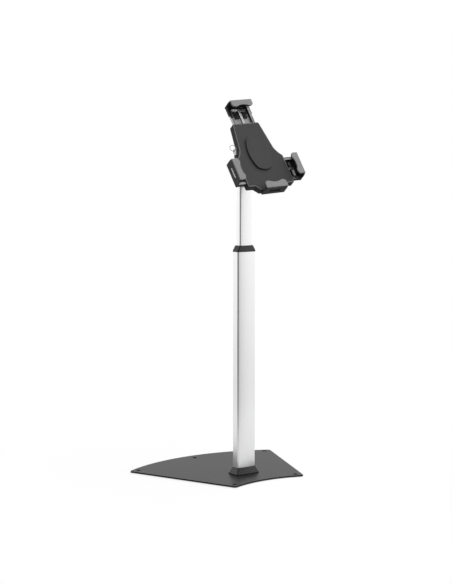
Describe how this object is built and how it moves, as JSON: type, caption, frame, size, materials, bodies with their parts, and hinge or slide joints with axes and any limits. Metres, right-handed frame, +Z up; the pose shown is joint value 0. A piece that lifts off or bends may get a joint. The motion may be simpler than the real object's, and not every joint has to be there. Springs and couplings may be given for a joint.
{
  "type": "tablet floor stand",
  "caption": "Floor stand with a telescopic column and a tilting, turning holder whose key-locked arms clamp a tablet.",
  "frame": {"origin": "on the column's axis at floor level, under the rubber pads", "axes": "+Z up along the column, +X to the right seen from the front, the front looks along -Y"},
  "size_m": [0.4464, 0.3981, 0.9447],
  "materials": {
    "plate": "fine powder coat, light grey",
    "column": "satin silver anodised",
    "collar": "satin black",
    "inner_plastic": "plain",
    "screw": "zinc plated",
    "brass": "plain",
    "neck": "cast, satin",
    "head": "satin black",
    "cover": "fine texture, dark grey",
    "claw": "satin black",
    "lip_rubber": "grey, soft",
    "foot_rubber": "black",
    "channel_steel": "satin",
    "bright_rod": "polished",
    "key_metal": "nickel plated",
    "nylon": "natural"
  },
  "bodies": {
    "base": {"base_plate": "plate", "foot_pads": "foot_rubber", "base_collar": "collar", "column_insert": "neck", "column_screws": "screw", "insert_screw": "screw", "lower_column": "column", "top_collar": "collar", "clamp_boss": "screw"},
    "clamp": {"clamp_knob": "collar", "clamp_stud": "screw", "pressure_pad": "brass"},
    "upper": {"upper_column": "column", "lower_guide": "inner_plastic", "neck_casting": "neck", "neck_screws": "screw", "swivel_disc": "nylon", "swivel_bolt": "screw", "swivel_washer": "screw"},
    "fork": {"swivel_fork": "head", "tilt_bolt": "screw", "tilt_nut": "screw", "tilt_washers": "nylon"},
    "tilt": {"tilt_arm": "head", "hub_bolt": "screw", "friction_disc": "nylon"},
    "holder": {"hub_plate": "head", "hub_screws": "screw", "rear_cover": "cover", "front_cover": "cover", "cover_screws": "screw", "rod_guides": "inner_plastic", "bottom_claw": "claw", "bottom_pad": "lip_rubber", "pinion_axle": "screw", "lock_barrel": "key_metal", "lock_pins": "screw"},
    "top_arm": {"top_channel": "channel_steel", "top_rod": "bright_rod", "top_claw": "claw", "top_pad": "lip_rubber"},
    "right_arm": {"right_channel": "channel_steel", "right_rod": "bright_rod", "right_claw": "claw", "right_pad": "lip_rubber", "right_rack": "nylon"},
    "left_arm": {"left_channel": "channel_steel", "left_rod": "bright_rod", "left_claw": "claw", "left_pad": "lip_rubber", "left_rack": "nylon"},
    "pinion": {"sync_pinion": "brass"},
    "lock": {"lock_core": "brass", "lock_cam": "screw", "key": "key_metal", "key_ring": "key_metal"},
    "lock_plate": {"lock_plate": "screw"}
  },
  "joints": [
    {"name": "column_height", "type": "slide", "parent": "base", "child": "upper", "axis": [0, 0, 1], "range_m": [-0.135, 0.2]},
    {"name": "clamp_turn", "type": "hinge", "parent": "base", "child": "clamp", "pos_m": [0, 0.013, 0.5385], "axis": [0, 1, 0], "range_deg": [-180, 180]},
    {"name": "head_swivel", "type": "hinge", "parent": "upper", "child": "fork", "pos_m": [0, 0, 0.7735], "axis": [0, 0, 1], "range_deg": [-36.2, 53.8]},
    {"name": "head_tilt", "type": "hinge", "parent": "fork", "child": "tilt", "pos_m": [0, 0, 0.7735], "axis": [0.9882, -0.153, 0], "range_deg": [-55.6, 44.4]},
    {"name": "holder_roll", "type": "hinge", "parent": "tilt", "child": "holder", "pos_m": [-0.01022, -0.06605, 0.81926], "axis": [-0.1262, -0.8154, 0.565], "range_deg": [-95.8, 84.2]},
    {"name": "top_arm_slide", "type": "slide", "parent": "holder", "child": "top_arm", "axis": [-0.0139, 0.5709, 0.8209], "range_m": [-0.0495, 0.0055]},
    {"name": "right_arm_slide", "type": "slide", "parent": "holder", "child": "right_arm", "axis": [0.9919, -0.0958, 0.0834], "range_m": [-0.022, 0.0055]},
    {"name": "left_arm_slide", "type": "slide", "parent": "holder", "child": "left_arm", "axis": [-0.9919, 0.0958, -0.0834], "range_m": [-0.02201, 0.00551]},
    {"name": "pinion_turn", "type": "hinge", "parent": "holder", "child": "pinion", "pos_m": [-0.0094, -0.10007, 0.77034], "axis": [-0.1262, -0.8154, 0.565], "range_deg": [-52.57, 210.13]},
    {"name": "lock_turn", "type": "hinge", "parent": "holder", "child": "lock", "pos_m": [-0.06605, -0.05606, 0.80528], "axis": [0.0139, -0.5709, -0.8209], "range_deg": [0, 90]},
    {"name": "lock_plate_lift", "type": "slide", "parent": "holder", "child": "lock_plate", "axis": [-0.1262, -0.8154, 0.565], "range_m": [-0.00001, 0.00181]}
  ],
  "couplings": [
    {"joint": "left_arm_slide", "follows": "right_arm_slide", "ratio": 1},
    {"joint": "pinion_turn", "follows": "right_arm_slide", "rad_per_m": -166.67},
    {"joint": "lock_plate_lift", "follows": "lock_turn", "m_per_rad": 0.0011434}
  ]
}
